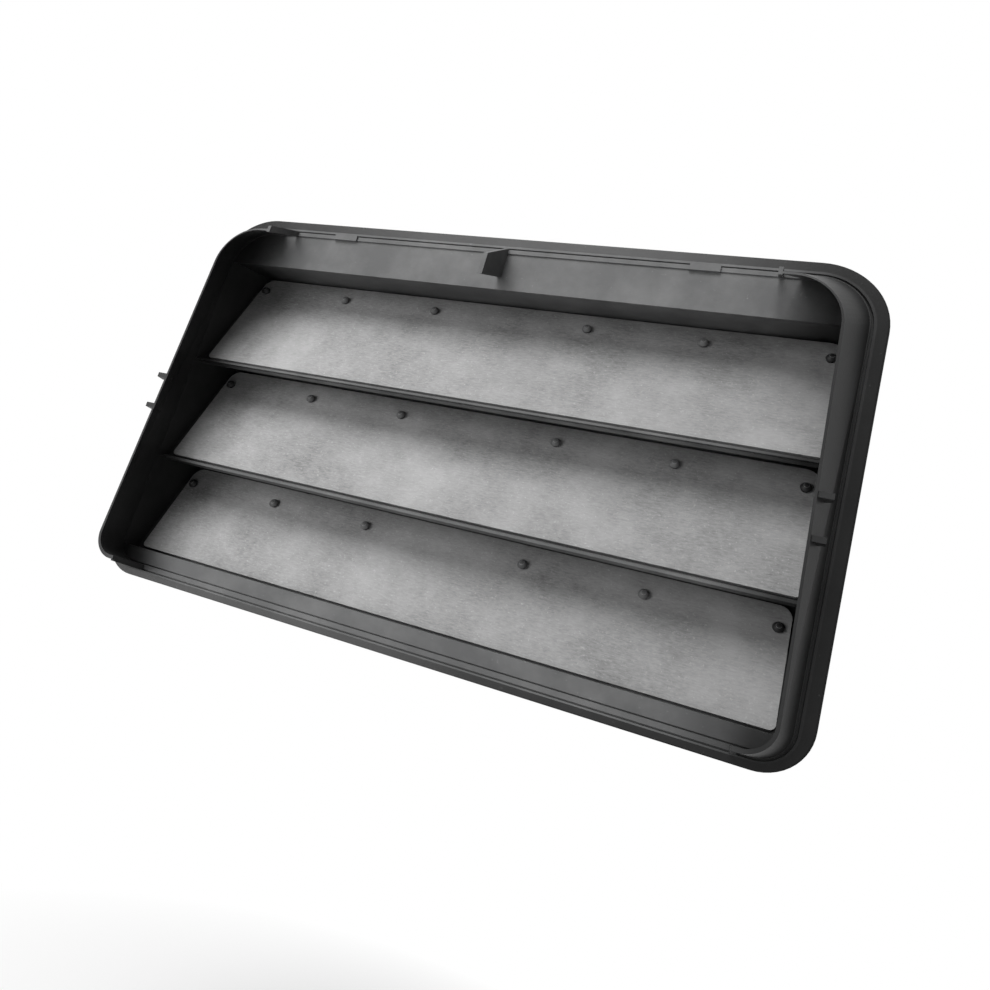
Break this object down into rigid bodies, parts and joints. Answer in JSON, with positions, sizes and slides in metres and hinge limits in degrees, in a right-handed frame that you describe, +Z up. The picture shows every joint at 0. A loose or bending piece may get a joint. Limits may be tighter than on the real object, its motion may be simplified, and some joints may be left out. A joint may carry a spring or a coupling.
{
  "type": "air outlet grille",
  "caption": "Cabin air outlet grille: dark moulded louvre frame with tall end walls, a soft seal lip and grey rubber flaps held by domed studs.",
  "frame": {"origin": "middle of the whole part's bounding box", "axes": "+X along the grille, +Z up as mounted, the flap side faces -Y"},
  "size_m": [0.221, 0.0354, 0.1344],
  "materials": {
    "moulding": "satin black moulding",
    "seal_rubber": "matt black soft lip",
    "flap_rubber": "dusty grey sheet rubber"
  },
  "bodies": {
    "housing": {"frame": "moulding", "seal": "seal_rubber"},
    "flap_top_body": {"flap_top": "flap_rubber"},
    "flap_middle_body": {"flap_middle": "flap_rubber"},
    "flap_bottom_body": {"flap_bottom": "flap_rubber"}
  },
  "joints": [
    {"name": "flap_top_hinge", "type": "hinge", "parent": "housing", "child": "flap_top_body", "pos_m": [0, 0.01102, 0.04589], "axis": [-1, 0, 0], "range_deg": [0, 16]},
    {"name": "flap_middle_hinge", "type": "hinge", "parent": "housing", "child": "flap_middle_body", "pos_m": [0, 0.01102, 0.00699], "axis": [-1, 0, 0], "range_deg": [0, 16]},
    {"name": "flap_bottom_hinge", "type": "hinge", "parent": "housing", "child": "flap_bottom_body", "pos_m": [0, 0.01102, -0.03191], "axis": [-1, 0, 0], "range_deg": [0, 16]}
  ]
}
